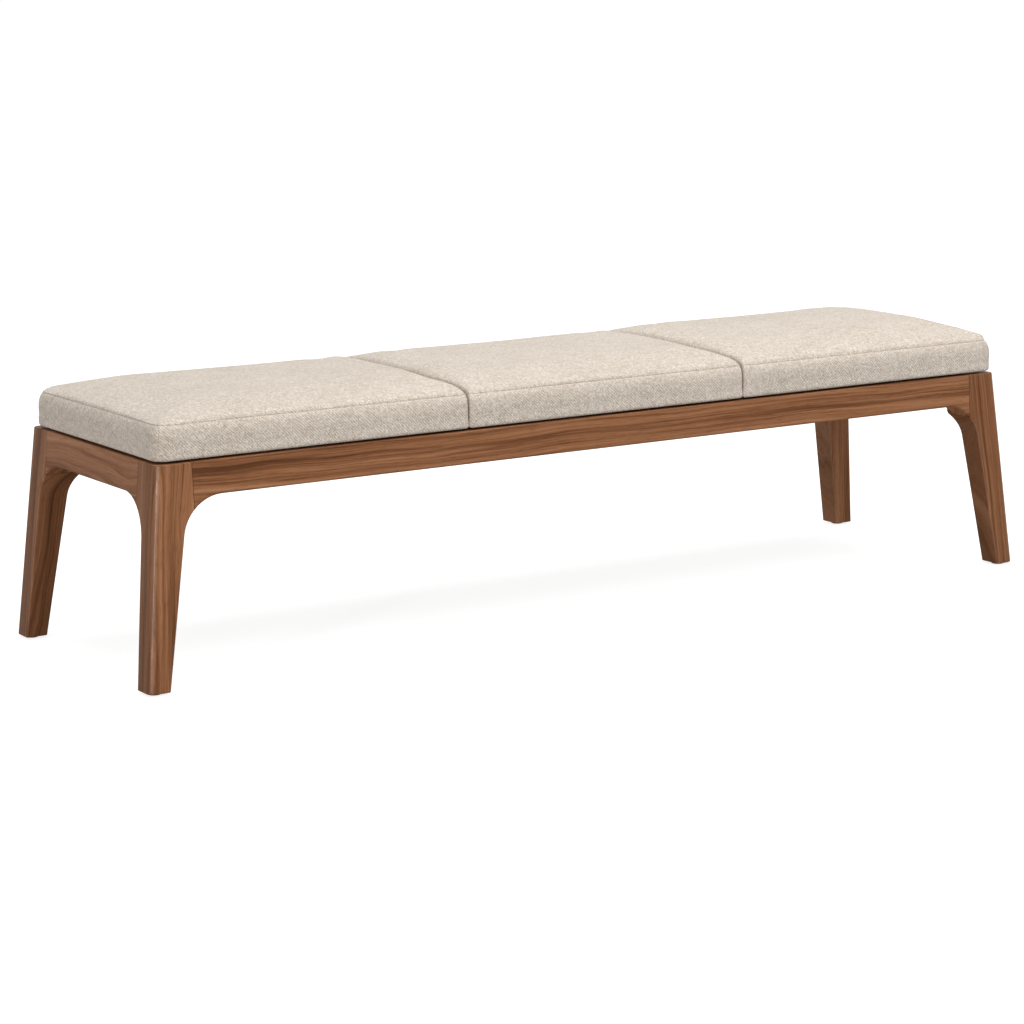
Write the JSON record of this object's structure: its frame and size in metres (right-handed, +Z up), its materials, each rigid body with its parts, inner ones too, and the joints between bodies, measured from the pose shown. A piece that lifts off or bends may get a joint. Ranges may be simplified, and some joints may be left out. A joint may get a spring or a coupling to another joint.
{
  "type": "upholstered bench",
  "caption": "Long upholstered bench on a walnut frame with splayed legs, haunched rails and separate crowned seat pads.",
  "frame": {"origin": "on the floor under the middle of the bench", "axes": "+X along the bench to its right end, +Y towards its back, +Z up"},
  "size_m": [1.8908, 0.5612, 0.4752],
  "materials": {
    "walnut": "satin oiled walnut",
    "beech": "plain beech",
    "bracing": "sawn hardwood, unfinished",
    "plywood": "birch plywood",
    "upholstery": "woven oatmeal twill",
    "foam": "open-cell foam",
    "dust_cloth": "non-woven",
    "zinc_steel": "zinc plated",
    "glide_nylon": "matt"
  },
  "bodies": {
    "root": {"leg_front_left": "walnut", "leg_front_right": "walnut", "leg_rear_left": "walnut", "leg_rear_right": "walnut", "rail_front": "walnut", "rail_rear": "walnut", "rail_left": "walnut", "rail_right": "walnut", "rail_dowels": "beech", "bearer_dowels": "beech", "corner_block_front_left": "bracing", "corner_block_front_right": "bracing", "corner_block_rear_left": "bracing", "corner_block_rear_right": "bracing", "cross_bearer_left": "bracing", "cross_bearer_right": "bracing", "seat_board_left": "plywood", "seat_board_centre": "plywood", "seat_board_right": "plywood", "seat_cover_left": "upholstery", "seat_cover_centre": "upholstery", "seat_cover_right": "upholstery", "seat_foam_left": "foam", "seat_foam_centre": "foam", "seat_foam_right": "foam", "seat_lining_left": "dust_cloth", "seat_lining_centre": "dust_cloth", "seat_lining_right": "dust_cloth", "corner_block_screws": "zinc_steel", "pad_bolts": "zinc_steel", "pad_washers": "zinc_steel", "tee_nuts": "zinc_steel", "glide_nails": "zinc_steel", "glide_front_left": "glide_nylon", "glide_front_right": "glide_nylon", "glide_rear_left": "glide_nylon", "glide_rear_right": "glide_nylon"}
  },
  "joints": []
}
